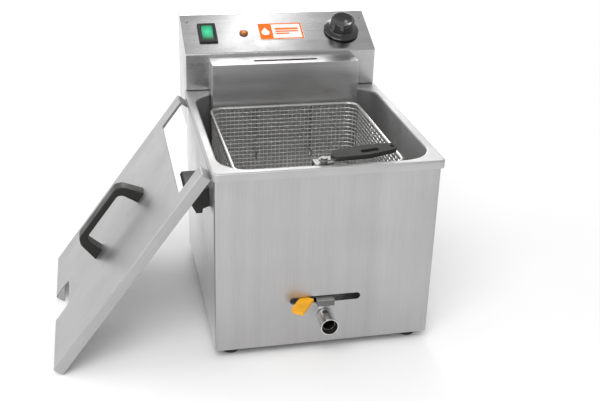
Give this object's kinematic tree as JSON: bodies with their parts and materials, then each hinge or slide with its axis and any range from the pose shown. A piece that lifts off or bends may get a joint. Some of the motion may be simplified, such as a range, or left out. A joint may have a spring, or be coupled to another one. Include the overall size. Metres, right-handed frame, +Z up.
{
  "type": "deep fryer",
  "caption": "Countertop electric deep fryer with steel cabinet, lift-off control head, wire basket, separate lid and front drain tap.",
  "frame": {"origin": "middle of the base of the whole set as it stands, fryer with its lid leaning on the left side, at floor level", "axes": "+Z up, -Y towards the front with the drain tap, +X to the right as seen from the front"},
  "size_m": [0.5168, 0.471, 0.3823],
  "materials": {
    "brushed_steel": "brushed stainless sheet, vertical grain",
    "tank_steel": "satin stainless, deep drawn",
    "cover_steel": "brushed stainless, darkened",
    "lid_steel": "brushed stainless sheet",
    "plate_steel": "satin steel plate",
    "bright_chrome": "polished nickel plate",
    "screw_steel": "plain stainless fasteners",
    "chrome_wire": "bright drawn wire",
    "mesh_wire": "bright woven wire",
    "element_metal": "dull sheathed rod",
    "black_plastic": "moulded black phenolic",
    "knob_black": "glossy black phenolic",
    "switch_black": "black nylon",
    "rubber": "black rubber",
    "seat_white": "white PTFE and ceramic",
    "thermostat_metal": "plated stamping",
    "lever_yellow": "yellow vinyl sleeve",
    "rocker_green": "green translucent plastic, lit",
    "lamp_amber": "amber lens",
    "lamp_frame": "amber lamp housing",
    "label_white": "white printed plate with orange frame",
    "pointer_white": "light pointer insert",
    "button_red": "red plastic"
  },
  "bodies": {
    "root": {"tank": "tank_steel", "front_panel": "brushed_steel", "side_panel_left": "brushed_steel", "side_panel_right": "brushed_steel", "back_panel": "brushed_steel", "base_plate": "plate_steel", "rubber_feet": "rubber", "foot_screws": "screw_steel", "side_grip": "black_plastic", "grip_screws": "screw_steel", "head_lugs": "plate_steel", "drain_elbow": "plate_steel", "valve_body": "bright_chrome", "seat_rings": "seat_white", "gland_nut": "bright_chrome", "spout_locknut": "bright_chrome", "drain_spout": "bright_chrome", "lever_guard": "plate_steel"},
    "lever": {"tap_lever": "plate_steel", "lever_sleeve": "lever_yellow", "lever_nut": "bright_chrome", "valve_stem": "bright_chrome", "valve_ball": "bright_chrome"},
    "head": {"head_casing": "brushed_steel", "head_back_cover": "brushed_steel", "cover_screws": "screw_steel", "element_cover": "cover_steel", "heating_element": "element_metal", "element_flange": "plate_steel", "element_glands": "bright_chrome", "bulb_sensor": "element_metal", "thermostat": "thermostat_metal", "safety_cutout": "switch_black", "terminal_block": "seat_white", "interlock_switch": "switch_black", "switch_housing": "switch_black", "pilot_lamp_bezel": "lamp_frame", "pilot_lamp_lens": "lamp_amber", "label_plate": "label_white", "cable_gland": "switch_black"},
    "rocker": {"switch_rocker": "rocker_green"},
    "knob": {"thermostat_knob": "knob_black", "knob_pointer": "pointer_white", "thermostat_shaft": "screw_steel"},
    "reset": {"reset_button": "button_red"},
    "basket": {"basket_rim": "chrome_wire", "basket_mesh": "mesh_wire", "basket_skids": "chrome_wire", "basket_hook": "chrome_wire", "handle_bracket": "chrome_wire", "handle_pivot_pin": "chrome_wire"},
    "basket_handle": {"basket_grip": "black_plastic", "handle_shank": "chrome_wire"},
    "lid": {"lid_tray": "lid_steel", "lid_handle": "black_plastic", "lid_screws": "screw_steel"}
  },
  "joints": [
    {"name": "lever_turn", "type": "hinge", "parent": "root", "child": "lever", "pos_m": [0.10542, -0.1755, 0.08], "axis": [0, 0, 1], "range_deg": [0, 80]},
    {"name": "head_lift", "type": "slide", "parent": "root", "child": "head", "axis": [0, 0, 1], "range_m": [0, 0.018]},
    {"name": "switch_rock", "type": "hinge", "parent": "head", "child": "rocker", "pos_m": [-0.00558, 0.15865, 0.35288], "axis": [1, 0, 0], "range_deg": [-16, 0]},
    {"name": "knob_turn", "type": "hinge", "parent": "head", "child": "knob", "pos_m": [0.20942, 0.15108, 0.36205], "axis": [0, -0.4217, 0.9067], "range_deg": [-270, 0]},
    {"name": "reset_press", "type": "slide", "parent": "head", "child": "reset", "axis": [0, -1, 0], "range_m": [0, 0.002], "stiffness_N_per_m": 400},
    {"name": "basket_lift", "type": "slide", "parent": "root", "child": "basket", "axis": [0, 0, 1], "range_m": [0, 0.2]},
    {"name": "handle_swing", "type": "hinge", "parent": "basket", "child": "basket_handle", "pos_m": [0.09842, -0.1945, 0.279], "axis": [0, 0, 1], "range_deg": [-101, 0]},
    {"name": "lid_lift", "type": "slide", "parent": "root", "child": "lid", "axis": [-0.8018, 0, 0.5976], "range_m": [0, 0.15]}
  ]
}
